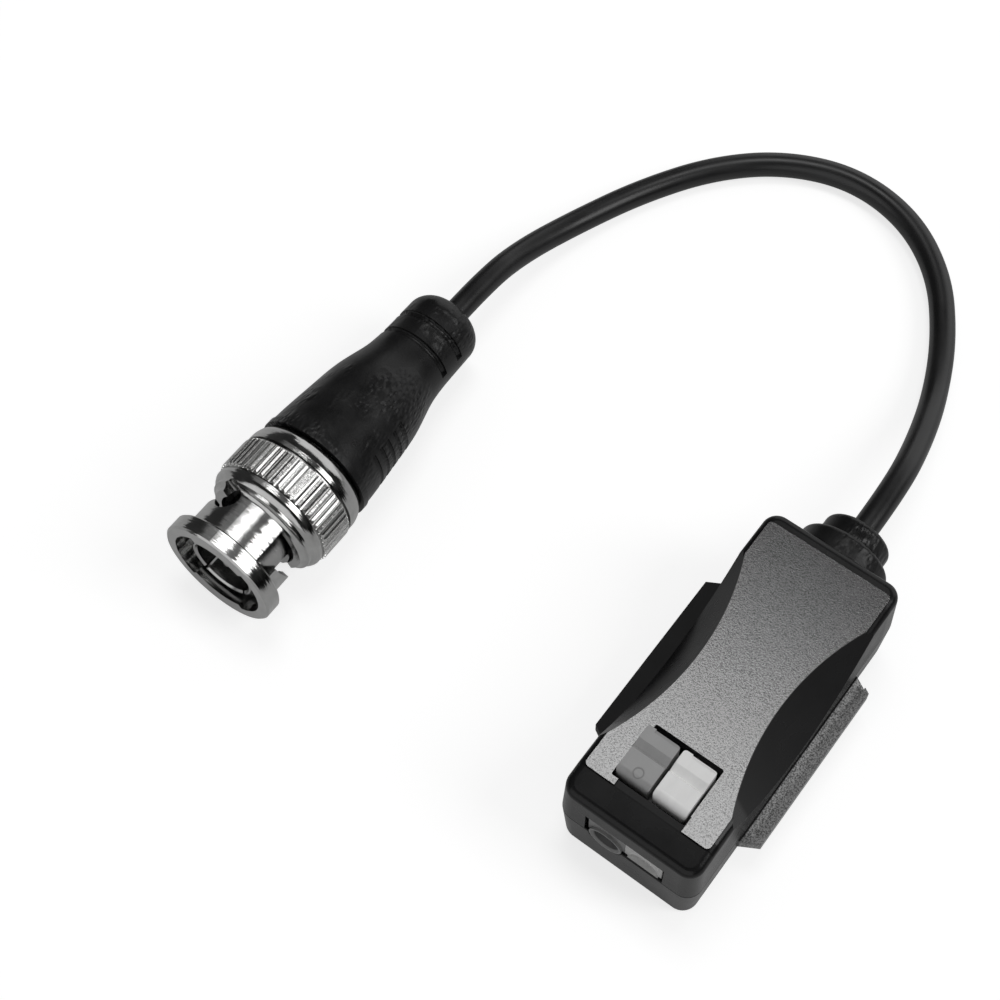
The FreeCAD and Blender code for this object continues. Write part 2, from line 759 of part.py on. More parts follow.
def make_strain_relief():
    """Rubber strain relief: inner flange, groove for the shells' wall, and two stepped rings."""
    start = Vector(0, relief_inner_y - relief_flange_length, relief_height)
    flange = rod(relief_flange_radius, start, relief_flange_length, along_y)
    waist = rod(relief_groove_radius, start, relief_end_y - start.y, along_y)
    step = rod(relief_step_radius, Vector(0, rear_y + relief_gap, relief_height),
               relief_step_length, along_y)
    step = step.makeFillet(0.6, [max(step.Edges, key=lambda e: e.BoundBox.YMin)])
    neck_y = rear_y + relief_gap + relief_step_length
    neck = rod(relief_neck_radius, Vector(0, neck_y - 0.8, relief_height),
               relief_neck_length + 0.8, along_y)
    neck = neck.makeFillet(0.7, [max(neck.Edges, key=lambda e: e.BoundBox.YMin)])
    return flange.fuse(waist).fuse(step).fuse(neck).removeSplitter()


def on_axis(t):
    """Point on the plug's own axis at a distance behind the front rim."""
    return Vector(0, t, 0)


def laid(shape):
    """A plug piece moved from its own axis to where the plug lies."""
    moved = shape.copy()
    moved.Placement = plug_place.multiply(shape.Placement)
    return moved


def turned(profile):
    """Solid of revolution about the plug's axis, from (distance, radius) points and arcs of two points."""
    def spot(t, r):
        return on_axis(t) + Vector(0, 0, r)

    edges = []
    cursor = spot(*profile[0])
    for item in profile[1:] + [profile[0]]:
        if isinstance(item[0], tuple):
            end = spot(*item[1])
            edges.append(Part.Arc(cursor, spot(*item[0]), end).toShape())
        else:
            end = spot(*item)
            edges.append(Part.LineSegment(cursor, end).toShape())
        cursor = end
    return Part.Face(Part.Wire(edges)).revolve(on_axis(0), along_y, 360)


def plug_tube(radius, inner, t0, t1):
    """Tube on the plug's axis between two distances."""
    return ring(radius, inner, on_axis(t0), t1 - t0, along_y)


def face_out(angle):
    """Outward direction on the plug at an angle from straight up, towards +X."""
    return Vector(math.sin(math.radians(angle)), 0, math.cos(math.radians(angle)))


def sector_cutter(rows, inner, outer):
    """Curved cutter with radial walls, from rows of (angle, front distance, rear distance)."""
    wires = []
    for angle, t0, t1 in rows:
        out = face_out(angle)
        corners = [on_axis(t0) + out * inner, on_axis(t0) + out * outer,
                   on_axis(t1) + out * outer, on_axis(t1) + out * inner]
        wires.append(Part.makePolygon(corners + [corners[0]]))
    return Part.makeLoft(wires, True, True)


def bayonet_cutters(angle):
    """Cutters for one bayonet slot: the round detent, the ramp, the way in and the rim's recess."""
    detent = rod(detent_radius, on_axis(detent_along), slot_outer_radius + 1, face_out(angle))
    ramp = sector_cutter([(angle + turn, t, slot_rear) for turn, t in slot_front],
                         slot_inner_radius, slot_outer_radius)
    way_in = sector_cutter([(angle + turn, nut_rim_length, slot_rear) for turn in slot_way_in],
                           slot_inner_radius, slot_outer_radius)
    entry = sector_cutter([(angle + turn, -1, nut_rim_length + 1) for turn in slot_way_in],
                          slot_inner_radius, recess_radius)
    span = recess_end_angle - slot_way_in[-1]
    turns = [slot_way_in[-1] + span * i / 9 for i in range(10)]
    recess = sector_cutter([(angle + turn, -1, recess_length) for turn in turns],
                           slot_inner_radius, recess_radius)
    return detent, ramp, way_in, entry, recess


def knurled_band():
    """Ring of straight round-topped ribs round the nut, rounded at both ends."""
    points = []
    floor_radius = knurl_radius - knurl_depth
    for i in range(knurl_ribs):
        for step, radius in ((-0.31, knurl_side_radius), (0.0, knurl_radius), (0.31, knurl_side_radius),
                             (0.38, floor_radius), (0.62, floor_radius)):
            angle = 360.0 * (i + step) / knurl_ribs
            points.append(on_axis(knurl_start) + face_out(angle) * radius)
    band = slab(points, Vector(0, knurl_length, 0))
    inset = knurl_bevel * 0.3
    limit = turned([(knurl_start, 0), (knurl_start, knurl_radius - knurl_bevel),
                    (knurl_start + inset, knurl_radius - inset),
                    (knurl_start + knurl_bevel, knurl_radius + 0.01),
                    (knurl_end - knurl_bevel, knurl_radius + 0.01),
                    (knurl_end - inset, knurl_radius - inset),
                    (knurl_end, knurl_radius - knurl_bevel), (knurl_end, 0)])
    return band.common(limit)


def make_coupling_nut():
    """Bayonet nut: rim, slotted tube, bell shoulder, knurled grip, collar and round rear."""
    collar_start = knurl_end + collar_gap
    outer = turned([(0, 0), (0, nut_rim_radius - nut_rim_bevel), (nut_rim_bevel, nut_rim_radius),
                    (nut_rim_length - nut_rim_bevel, nut_rim_radius),
                    (nut_rim_length, nut_rim_radius - nut_rim_bevel),
                    (nut_rim_length, nut_tube_radius), (bell_start, nut_tube_radius), bell_flare, bell_step,
                    bell_round, (bell_end, bell_round[-1][1]), (bell_end + groove_slant, groove_bottom_radius),
                    (collar_start, groove_bottom_radius), (collar_start + groove_slant, collar_radius),
                    (collar_end, collar_radius), collar_round, (nut_rear, 0)])
    nut = outer.fuse(knurled_band())
    nut = nut.cut(rod(nut_bore_radius, on_axis(-1), nut_rear + 2, along_y))
    nut = nut.cut(rod(nut_rear_bore, on_axis(nut_seat), nut_rear, along_y))
    for turn in (0, 180):
        for cutter in bayonet_cutters(detent_angle + turn):
            nut = nut.cut(cutter)
    return nut


def make_sleeve():
    """Outer contact: a thin sprung tube with four slits."""
    sleeve = plug_tube(sleeve_radius, sleeve_radius - sleeve_wall, sleeve_front, sleeve_rear)
    sleeve = sleeve.makeChamfer(sleeve_bevel, [e for e in sleeve.Edges
                                               if abs(e.BoundBox.YMax - sleeve_front) < 1e-6])
    for turn in range(2):
        out = face_out(45 + 90 * turn)
        across = face_out(135 + 90 * turn)
        corner = on_axis(0) - out * (sleeve_radius + 1) - across * (sleeve_slit / 2)
        points = [corner, corner + out * (2 * sleeve_radius + 2),
                  corner + out * (2 * sleeve_radius + 2) + across * sleeve_slit,
                  corner + across * sleeve_slit]
        sleeve = sleeve.cut(slab(points, Vector(0, sleeve_slit_rear, 0)))
    return sleeve


def make_plug_body():
    """Turned body: gasket seat, thrust flange, bearing and the hollow crimp stem."""
    flange_rear = flange_front + flange_thickness
    seat = flange_front - seat_length
    body = turned([(seat, 0), (seat, neck_radius), (flange_front, neck_radius),
                   (flange_front, nut_rear_bore - flange_play), (flange_rear, nut_rear_bore - flange_play),
                   (flange_rear, tail_radius), (tail_rear, tail_radius), (tail_rear, stem_radius),
                   (stem_rear, stem_radius), (stem_rear, 0)])
    body = body.cut(rod(sleeve_radius + fit_gap, on_axis(0), sleeve_rear + fit_gap, along_y))
    body = body.cut(rod(insulator_rear_radius + fit_gap, on_axis(0), insulator_rear + fit_gap, along_y))
    return body.cut(rod(stem_bore, on_axis(0), stem_rear + 1, along_y))


def make_insulator():
    """White plastic bush that holds the centre pin."""
    front_radius = sleeve_radius - sleeve_wall - fit_gap
    bush = turned([(insulator_front, 0), (insulator_front, front_radius), (sleeve_rear, front_radius),
                   (sleeve_rear, insulator_rear_radius), (insulator_rear, insulator_rear_radius),
                   (insulator_rear, 0)])
    return bush.cut(rod(pin_radius + fit_gap, on_axis(0), insulator_rear + 1, along_y))


def make_centre_pin():
    """Centre contact with a tapered tip and a solder cup behind the insulator."""
    cup_front = insulator_rear + fit_gap
    cup_rear = insulator_rear + pin_cup_length
    return turned([(pin_front, 0), (pin_front, pin_radius * pin_tip_share),
                   (pin_front + pin_tip_length, pin_radius), (cup_front, pin_radius),
                   (cup_front, pin_radius * pin_cup_share), (cup_rear, pin_radius * pin_cup_share),
                   (cup_rear, 0)])


def make_wave_washer():
    """Wave spring between the body's flange and the thrust washer, crested three times a turn."""
    low = flange_front + flange_thickness
    high = back_ring_front - washer_thickness
    middle = (low + high) / 2
    swing = (high - low) / 2 - wave_height
    sections = []
    for i in range(wave_steps):
        angle = 360.0 * i / wave_steps
        t = middle + swing * math.cos(math.radians(3 * angle))
        inner = on_axis(t) + face_out(angle) * (tail_radius + wave_inner_play)
        outer = on_axis(t) + face_out(angle) * (nut_rear_bore - wave_outer_play)
        sections.append((inner, outer))
    solids = []
    depth = Vector(0, wave_height, 0)
    for (a, b), (c, d) in zip(sections, sections[1:] + sections[:1]):
        solids.append(slab([a, b, d], depth))
        solids.append(slab([a, d, c], depth))
    return solids[0].multiFuse(solids[1:]).removeSplitter()


def boot_outline():
    """Side view of the boot, from the lip behind the nut to the lead's end."""
    lip_end = boot_front + boot_lip_length
    curve = Part.BSplineCurve()
    curve.interpolate([on_axis(t) + Vector(0, 0, r) for t, r in boot_knots])
    corners = [(boot_front, 0), (boot_front, boot_lip_radius), (lip_end, boot_lip_radius), boot_knots[0]]
    points = [on_axis(t) + Vector(0, 0, r) for t, r in corners]
    edges = [Part.LineSegment(a, b).toShape() for a, b in zip(points, points[1:])]
    edges.append(curve.toShape())
    shoulder = on_axis(boot_knots[-1][0]) + Vector(0, 0, boot_knots[-1][1])
    mouth = on_axis(boot_rear) + Vector(0, 0, boot_mouth_radius)
    bulge = on_axis(boot_end_round[0]) + Vector(0, 0, boot_end_round[1])
    edges.append(Part.Arc(shoulder, bulge, mouth).toShape())
    edges.append(Part.LineSegment(mouth, on_axis(boot_rear)).toShape())
    edges.append(Part.LineSegment(on_axis(boot_rear), on_axis(boot_front)).toShape())
    return Part.Face(Part.Wire(edges))


def part_ring(t, radius, thickness, sweep, facing):
    """Round bead bent round the plug's axis over part of a turn."""
    out = face_out(facing - sweep / 2)
    start = on_axis(t) + out * radius
    disc = Part.Face(Part.Wire(Part.makeCircle(thickness, start, along_y.cross(out))))
    return disc.revolve(on_axis(t), along_y, sweep)


def make_boot():
    """Moulded boot over the crimp: grip grooves on one side, and two long grooves at the lead's end."""
    boot = boot_outline().revolve(on_axis(0), along_y, 360)
    for t in boot_groove_spots:
        boot = boot.cut(part_ring(t, boot_knots[-1][1] + 0.1, boot_groove_radius, boot_groove_sweep,
                                  boot_groove_facing))
    for t, radius in grip_groove_spots:
        boot = boot.cut(part_ring(t, radius + 0.05, grip_groove_radius, grip_groove_sweep, grip_groove_facing))
    boot = boot.cut(rod(tail_radius + fit_gap, on_axis(0), tail_rear + fit_gap, along_y))
    return boot.cut(rod(stem_radius + ferrule_wall + 2 * fit_gap, on_axis(0), stem_rear + fit_gap, along_y))


def make_cord():
    """The lead, from the strain relief over the table to the plug's boot."""
    start = Vector(0, relief_end_y, relief_height)
    end = plug_place.multVec(on_axis(boot_rear))
    last = plug_place.multVec(on_axis(boot_rear + cord_exit))
    points = [start] + [Vector(*p) for p in cord_route] + [last, end]
    path = rounded_path(points, show=True)
    tube = tube_along(path, cord_diameter / 2)
    expected = math.pi * (cord_diameter / 2) ** 2 * path.Length
    print("lead length %.1f mm, volume %.1f against %.1f mm3" % (path.Length, tube.Volume, expected))
    return tube


def build():
    """Make every piece."""
    grey, light = entry_spots()
    grey_cap, light_cap = cap_spots()
    parts["upper_shell"] = make_upper_shell()
    parts["lower_shell"] = make_lower_shell()
    parts["terminal_grey"] = make_terminal(grey, True)
    parts["terminal_light"] = make_terminal(light, False)
    parts["button_grey"] = make_button(grey, grey_cap)
    parts["button_light"] = make_button(light, light_cap)
    parts["clamp_spring_grey"] = strip_loop(grey)
    parts["clamp_spring_light"] = strip_loop(light)
    parts["contact_grey"] = make_contact(grey)
    parts["contact_light"] = make_contact(light)
    parts["circuit_board"] = make_board()
    parts["transformer_core"] = make_core()
    parts["transformer_windings"] = make_winding()
    parts["surge_suppressor"] = make_suppressor()
    parts["board_chips"] = make_chips()
    parts["tail_leads"] = make_tail_leads()
    parts["strain_relief"] = make_strain_relief()
    parts["cord"] = make_cord()
    gasket_rear = flange_front - seat_length
    parts["plug_boot"] = laid(make_boot())
    parts["plug_body"] = laid(make_plug_body())
    parts["outer_contact_sleeve"] = laid(make_sleeve())
    parts["plug_insulator"] = laid(make_insulator())
    parts["centre_pin"] = laid(make_centre_pin())
    parts["crimp_ferrule"] = laid(plug_tube(stem_radius + ferrule_wall, stem_radius + fit_gap,
                                            tail_rear + fit_gap, stem_rear))
    parts["plug_gasket"] = laid(plug_tube(neck_radius, sleeve_radius + fit_gap,
                                          gasket_rear - gasket_length, gasket_rear))
    parts["wave_washer"] = laid(make_wave_washer())
    parts["thrust_washer"] = laid(plug_tube(nut_rear_bore - washer_play, washer_bore,
                                            back_ring_front - washer_thickness, back_ring_front - fit_gap))
    parts["back_ring"] = laid(plug_tube(nut_rear_bore - fit_gap, washer_bore, back_ring_front,
                                        back_ring_front + back_ring_length))
    parts["coupling_nut"] = laid(make_coupling_nut())


build()
os.makedirs("parts", exist_ok=True)
for name, shape in parts.items():
    solids = shape.Solids
    size = shape.BoundBox
    print("%-22s solids %d valid %s volume %.2f, y %.3f to %.3f, z %.3f to %.3f"
          % (name, len(solids), shape.isValid(), shape.Volume, size.YMin, size.YMax, size.ZMin, size.ZMax))
    piece = solids[0] if len(solids) == 1 else Part.makeCompound(solids)
    piece.exportStep("parts/%s.step" % name)
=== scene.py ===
"""Looks of a video balun: a two-shell housing with push-button terminals, a short lead and a bayonet plug.

Lengths in the settings are metres, in the part's own frame: the housing lies flat round the origin, the wire
entries face -Y, the lead leaves at +Y, and the plug lies beside the housing at -X with its mouth to -Y.
"""

import math

import bpy
from mathutils import Matrix, Vector


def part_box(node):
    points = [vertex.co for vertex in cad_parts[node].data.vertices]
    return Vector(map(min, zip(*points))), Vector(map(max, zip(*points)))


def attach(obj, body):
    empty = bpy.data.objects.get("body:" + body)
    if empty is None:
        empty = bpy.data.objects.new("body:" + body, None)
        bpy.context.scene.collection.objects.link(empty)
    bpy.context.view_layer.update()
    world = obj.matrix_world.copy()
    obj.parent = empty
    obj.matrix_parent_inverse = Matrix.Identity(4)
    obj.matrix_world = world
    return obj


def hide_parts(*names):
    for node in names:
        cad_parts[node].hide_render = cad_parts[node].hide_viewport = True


bl_info = {
    "name": "Video balun looks",
    "version": (1, 0, 0),
    "blender": (4, 5, 0),
    "location": "3D View > Sidebar > Balun",
    "description": "Finishes the packed video balun: plastics, plated plug, lead and studio",
    "category": "Object",
}

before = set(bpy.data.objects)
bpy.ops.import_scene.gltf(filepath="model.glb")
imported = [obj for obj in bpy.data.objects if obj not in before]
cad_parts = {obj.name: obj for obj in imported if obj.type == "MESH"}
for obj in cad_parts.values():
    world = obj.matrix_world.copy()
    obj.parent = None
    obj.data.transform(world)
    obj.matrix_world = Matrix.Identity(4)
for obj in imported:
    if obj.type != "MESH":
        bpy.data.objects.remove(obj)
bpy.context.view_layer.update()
MM = 0.001

# Route of the lead, as the part's source has it, from the strain relief to the plug's boot
LEAD_ROUTE = (
    (0.0, 31.0, 6.8),
    (-1.2, 38.6, 4.6),
    (-3.2, 46.0, 2.2),
    (-6.4, 53.4, 1.5),
    (-11.2, 60.4, 1.5),
    (-18.2, 65.2, 1.5),
    (-26.6, 66.4, 1.5),
    (-34.6, 63.4, 1.5),
    (-41.0, 57.6, 1.5),
    (-45.9, 49.8, 1.5),
    (-49.2, 41.6, 2.0),
    (-51.1, 33.9, 3.6),
    (-51.39, 27.16, 5.40),
)
BOOT_END = (-51.291, 20.474, 5.757)

# Where the plug lies: the middle of its rim, and its tilt and turn; its own axis is local +Y
PLUG_PLACE = (-0.050683, -0.019563, 0.007926)
PLUG_TURN = (math.radians(-3.1), 0.0, math.radians(0.87))
# The nut's knurled band, measured back from its rim
KNURL = (9.0 * MM, 13.0 * MM)


def middle(node):
    """Middle of a CAD node's box."""
    low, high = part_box(node)
    return (low + high) / 2


RELIEF_AXIS = middle("strain_relief")
LEAD_START = Vector((RELIEF_AXIS.x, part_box("strain_relief")[1].y, RELIEF_AXIS.z))
LEAD_END = Vector(BOOT_END) * MM
PAD_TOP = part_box("upper_shell")[1].z
SIDE_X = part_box("upper_shell")[1].x
RAIL_FLOOR = 4.6 * MM
# Where the sides are hollowed for the fingers, and the flat strip between the buttons and the front band
SCALLOP_Y = (-9.5 * MM, 15.5 * MM)
SCALLOP_Z = (7.0 * MM, 13.72 * MM)
STRIP_Y = (-15.25 * MM, -14.2 * MM)
# Wire entries in the faces of the terminals, across and up, with painted shade in the grey one's deep hole, and the
# shell's edge under the light one
GREY_ENTRY = (-2.15 * MM, 7.0 * MM)
ENTRY_RADIUS = 1.5 * MM
LIP_X = (0.40 * MM, 3.95 * MM)
LIP_Y = (-18.32 * MM, -16.5 * MM)
LIP_Z = 6.76 * MM
# Ejector mark on the grey button
MARK_AT = (-2.27 * MM, -13.1 * MM)
MARK_RADIUS = 0.5 * MM


class HousingLook(bpy.types.PropertyGroup):
    """Plastics of the housing and its terminals."""

    black: bpy.props.FloatVectorProperty(
        name="Black plastic", description="Colour of both shells", subtype="COLOR",
        default=(0.010, 0.010, 0.0103), min=0, max=1)
    gloss: bpy.props.FloatProperty(
        name="Shell gloss", description="Strength of the reflection in the plain black plastic",
        default=0.22, min=0, max=1)
    pad: bpy.props.FloatVectorProperty(
        name="Grained pad", description="Colour of the grained pad, where the grain scatters light",
        subtype="COLOR", default=(0.020, 0.020, 0.0205), min=0, max=1)
    pad_roughness: bpy.props.FloatProperty(
        name="Pad roughness", description="Roughness of the skin between the pad's pits",
        default=0.20, min=0, max=1)
    pad_gloss: bpy.props.FloatProperty(
        name="Pad gloss", description="Strength of the pad's reflection", default=0.76, min=0, max=1)
    # The rail's pale colour is painted sheen: the grain's reflection painted into the colour, over the grain's real
    # speckle
    rail: bpy.props.FloatVectorProperty(
        name="Rail", description="Colour of the grained and rubbed side rail", subtype="COLOR",
        default=(0.36, 0.36, 0.36), min=0, max=1)
    grain: bpy.props.FloatProperty(
        name="Grain size", description="Spacing of the moulded grain on the pad", unit="LENGTH",
        default=0.00016, min=0.00005, max=0.002)
    grey: bpy.props.FloatVectorProperty(
        name="Grey plastic", description="Colour of the grey button and terminal", subtype="COLOR",
        default=(0.34, 0.34, 0.34), min=0, max=1)
    light: bpy.props.FloatVectorProperty(
        name="Light plastic", description="Colour of the light button and terminal", subtype="COLOR",
        default=(0.90, 0.90, 0.893), min=0, max=1)


class PlugLook(bpy.types.PropertyGroup):
    """Plating and moulding of the plug."""

    plating: bpy.props.FloatVectorProperty(
        name="Plating", description="Colour of the bright plating", subtype="COLOR",
        default=(0.47, 0.47, 0.465), min=0, max=1)
    rubber: bpy.props.FloatVectorProperty(
        name="Boot", description="Colour of the moulded boot and the strain relief", subtype="COLOR",
        default=(0.009, 0.009, 0.0093), min=0, max=1)


class LeadLook(bpy.types.PropertyGroup):
    """Size and jacket of the lead."""

    diameter: bpy.props.FloatProperty(
        name="Diameter", description="Thickness of the jacket", unit="LENGTH",
        default=0.0029, min=0.001, max=0.01)
    length: bpy.props.FloatProperty(
        name="Length", description="From the strain relief to the boot", unit="LENGTH",
        default=0.1129, min=0.05, max=1)
    jacket: bpy.props.FloatVectorProperty(
        name="Jacket", description="Colour of the jacket", subtype="COLOR",
        default=(0.010, 0.010, 0.0105), min=0, max=1)


class StageLook(bpy.types.PropertyGroup):
    """Floor, lights and camera."""

    azimuth: bpy.props.FloatProperty(
        name="Azimuth", description="Camera's turn round the part; 0 looks along +Y", subtype="ANGLE",
        default=math.radians(40.08))
    elevation: bpy.props.FloatProperty(
        name="Elevation", description="Camera's height over the horizon", subtype="ANGLE",
        default=math.radians(62.78))
    roll: bpy.props.FloatProperty(
        name="Roll", description="Camera's turn about its own line of sight", subtype="ANGLE",
        default=math.radians(-3.29))
    distance: bpy.props.FloatProperty(
        name="Distance", description="From the camera to the point that it looks at", unit="LENGTH",
        default=0.20474, min=0.01)
    aim: bpy.props.FloatVectorProperty(
        name="Aim", description="Point that the camera looks at", subtype="XYZ", unit="LENGTH",
        default=(-0.03493, 0.00781, 0.0))
    lens: bpy.props.FloatProperty(
        name="Lens", description="Focal length in millimetres", default=67.144, min=1)
    floor: bpy.props.FloatVectorProperty(
        name="Floor", description="Colour of the floor", subtype="COLOR",
        default=(0.46, 0.46, 0.46), min=0, max=1)


SETTINGS = (HousingLook, PlugLook, LeadLook, StageLook)


def settings(kind):
    """The scene's settings of one kind."""
    return getattr(bpy.context.scene, "balun_" + kind)


def rgba(colour):
    """Colour with full alpha."""
    return (colour[0], colour[1], colour[2], 1.0)


# Building blocks of the materials
def new_material(name):
    """Empty node material with its principled shader."""
    material = bpy.data.materials.new(name)
    material.use_nodes = True
    return material, material.node_tree, material.node_tree.nodes["Principled BSDF"]


def add_node(tree, kind, **values):
    """Node of a kind, with attributes by name and sockets by their label."""
    node = tree.nodes.new(kind)
    for key, value in values.items():
        if hasattr(node, key):
            setattr(node, key, value)
        else:
            node.inputs[key.replace("_", " ")].default_value = value
    return node


def object_point(tree, scale=(1, 1, 1)):
    """Object coordinates, stretched by a scale."""
    coordinates = tree.nodes.new("ShaderNodeTexCoord")
    mapping = tree.nodes.new("ShaderNodeMapping")
    mapping.inputs["Scale"].default_value = scale
    tree.links.new(coordinates.outputs["Object"], mapping.inputs["Vector"])
    return mapping.outputs["Vector"]


def plug_point(tree, scale=(1, 1, 1)):
    """Coordinates of the plug, whose axis is Y, stretched by a scale."""
    coordinates = tree.nodes.new("ShaderNodeTexCoord")
    placed = tree.nodes.new("ShaderNodeMapping")
    placed.vector_type = "TEXTURE"
    placed.inputs["Location"].default_value = PLUG_PLACE
    placed.inputs["Rotation"].default_value = PLUG_TURN
    tree.links.new(coordinates.outputs["Object"], placed.inputs["Vector"])
    stretched = tree.nodes.new("ShaderNodeMapping")
    stretched.inputs["Scale"].default_value = scale
    tree.links.new(placed.outputs["Vector"], stretched.inputs["Vector"])
    return stretched.outputs["Vector"]


def noise(tree, point, size, detail=3.0, roughness=0.5):
    """Noise whose lumps are about one size across, in metres."""
    node = add_node(tree, "ShaderNodeTexNoise", Scale=1.0 / size, Detail=detail, Roughness=roughness)
    tree.links.new(point, node.inputs["Vector"])
    return node.outputs["Fac"]


def spread(tree, value, low, high, start=0.0, end=1.0):
    """Value carried from one range to another."""
    node = tree.nodes.new("ShaderNodeMapRange")
    for label, number in (("From Min", start), ("From Max", end), ("To Min", low), ("To Max", high)):
        node.inputs[label].default_value = number
    tree.links.new(value, node.inputs["Value"])
    return node.outputs["Result"]


def math_of(tree, operation, *terms):
    """Arithmetic on sockets and numbers."""
    node = tree.nodes.new("ShaderNodeMath")
    node.operation = operation
    for socket, term in zip(node.inputs, terms):
        if isinstance(term, (int, float)):
            socket.default_value = term
        else:
            tree.links.new(term, socket)
    return node.outputs[0]


def mix_colour(tree, factor, first, second):
    """Colour between two."""
    node = tree.nodes.new("ShaderNodeMix")
    node.data_type = "RGBA"
    tree.links.new(factor, node.inputs[0])
    for socket, colour in ((node.inputs[6], first), (node.inputs[7], second)):
        if isinstance(colour, tuple):
            socket.default_value = rgba(colour)
        else:
            tree.links.new(colour, socket)
    return node.outputs[2]


def bump(tree, height, depth, strength=1.0, base=None):
    """Bump of a depth in metres, over another bump where one is given."""
    node = add_node(tree, "ShaderNodeBump", Distance=depth, Strength=strength)
    tree.links.new(height, node.inputs["Height"])
    if base is not None:
        tree.links.new(base, node.inputs["Normal"])
    return node.outputs["Normal"]


def split_point(tree):
    """Separate X, Y and Z of the object coordinates."""
    node = tree.nodes.new("ShaderNodeSeparateXYZ")
    tree.links.new(object_point(tree), node.inputs[0])
    return node.outputs[0], node.outputs[1], node.outputs[2]


def mix_value(tree, factor, first, second):
    """Number between two."""
    node = tree.nodes.new("ShaderNodeMix")
    tree.links.new(factor, node.inputs[0])
    for socket, value in ((node.inputs[2], first), (node.inputs[3], second)):
        if isinstance(value, (int, float)):
            socket.default_value = value
        else:
            tree.links.new(value, socket)
    return node.outputs[0]


def distance_from(tree, first, second, centre):
    """Distance of two coordinates from a centre."""
    squares = [math_of(tree, "POWER", math_of(tree, "SUBTRACT", value, middle_value), 2.0)
               for value, middle_value in zip((first, second), centre)]
    return math_of(tree, "SQRT", math_of(tree, "ADD", *squares))


def between(tree, value, low, high, soft):
    """1 where a value lies between two limits, with soft ends."""
    rise = spread(tree, value, 0.0, 1.0, low - soft, low + soft)
    fall = spread(tree, value, 1.0, 0.0, high - soft, high + soft)
    return math_of(tree, "MULTIPLY", rise, fall)


def dress(names, material):
    """Give CAD nodes a material."""
    for name in names:
        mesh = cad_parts[name].data
        mesh.materials.clear()
        mesh.materials.append(material)


# Materials
def smooth_plastic(tree, point, colour):
    """Colour, roughness and bump of plain black moulded plastic."""
    wide = noise(tree, point, 4 * MM, 4)
    shade = mix_colour(tree, spread(tree, wide, 0.0, 1.0, 0.35, 0.65), tuple(c * 0.85 for c in colour),
                       tuple(c * 1.15 for c in colour))
    return shade, spread(tree, wide, 0.22, 0.30, 0.3, 0.7), bump(tree, noise(tree, point, 0.12 * MM, 2), 0.0010 * MM)


def upper_plastic():
    """Black moulded plastic, with the pad's grain: a satin skin with short dark pits."""
    look = settings("housing")
    material, tree, shader = new_material("upper_shell_plastic")
    point = object_point(tree)
    x, y, z = split_point(tree)
    mask = spread(tree, z, 0.0, 1.0, PAD_TOP - 0.12 * MM, PAD_TOP - 0.06 * MM)
    shade, smooth, polish = smooth_plastic(tree, point, look.black)
    fine = noise(tree, point, look.grain, 2, 0.6)
    pits = spread(tree, fine, 1.0, 0.0, 0.32, 0.52)
    skin = mix_colour(tree, pits, tuple(look.pad), tuple(c * 0.6 for c in look.pad))
    tree.links.new(mix_colour(tree, mask, shade, skin), shader.inputs["Base Color"])
    tree.links.new(mix_value(tree, mask, smooth, look.pad_roughness), shader.inputs["Roughness"])
    dull = mix_value(tree, pits, look.pad_gloss, look.pad_gloss * 0.55)
    grips = math_of(tree, "MULTIPLY", between(tree, y, *SCALLOP_Y, 0.3 * MM), between(tree, z, *SCALLOP_Z, 0.1 * MM))
    strip = math_of(tree, "MULTIPLY", between(tree, y, *STRIP_Y, 0.05 * MM), spread(tree, z, 0.0, 1.0, 13.0 * MM, 13.1 * MM))
    matt = math_of(tree, "MAXIMUM", grips, strip)
    plain = mix_value(tree, matt, look.gloss, look.gloss * 0.3)
    tree.links.new(mix_value(tree, mask, plain, dull), shader.inputs["Specular IOR Level"])
    tree.links.new(mix_value(tree, mask, 1.5, 1.75), shader.inputs["IOR"])
    depth = math_of(tree, "MULTIPLY", fine, mask)
    tree.links.new(bump(tree, depth, 0.012 * MM, 1.0, polish), shader.inputs["Normal"])
    return material


def lower_plastic():
    """Black moulded plastic, with the side rails' floors grained and painted paler as painted sheen of the grain."""
    look = settings("housing")
    material, tree, shader = new_material("lower_shell_plastic")
    point = object_point(tree)
    x, y, z = split_point(tree)
    side = spread(tree, x, 0.0, 1.0, SIDE_X + 0.02 * MM, SIDE_X + 0.10 * MM)
    left = spread(tree, x, 1.0, 0.0, -SIDE_X - 0.10 * MM, -SIDE_X - 0.02 * MM)
    # Painted sheen: the rail floor takes the full pale grained colour, the higher parts of the rail less of it
    floor = spread(tree, z, 1.0, 0.45, RAIL_FLOOR + 0.05 * MM, RAIL_FLOOR + 0.20 * MM)
    shade, smooth, polish = smooth_plastic(tree, point, look.black)
    fine = noise(tree, point, look.grain, 3, 0.65)
    # Grain speckle, lifted pale as painted sheen
    speckle_and_painted_sheen = mix_colour(tree, spread(tree, fine, 0.0, 1.0, 0.40, 0.60), tuple(c * 0.25 for c in look.rail),
                         tuple(c * 1.8 for c in look.rail))
    painted_sheen_rail = mix_colour(tree, floor, tuple(look.black), speckle_and_painted_sheen)
    lip = math_of(tree, "MULTIPLY", between(tree, x, *LIP_X, 0.03 * MM), between(tree, y, *LIP_Y, 0.03 * MM))
    lip = math_of(tree, "MULTIPLY", lip, spread(tree, z, 0.0, 1.0, LIP_Z, LIP_Z + 0.02 * MM))
    sides = mix_colour(tree, side, shade, painted_sheen_rail)
    tree.links.new(mix_colour(tree, lip, sides, tuple(look.light)), shader.inputs["Base Color"])
    tree.links.new(mix_value(tree, left, mix_value(tree, side, smooth, 0.42), 0.6), shader.inputs["Roughness"])
    tree.links.new(mix_value(tree, side, look.gloss, 0.6), shader.inputs["Specular IOR Level"])
    depth = math_of(tree, "MULTIPLY", fine, side)
    tree.links.new(bump(tree, depth, 0.05 * MM, 1.0, polish), shader.inputs["Normal"])
    return material


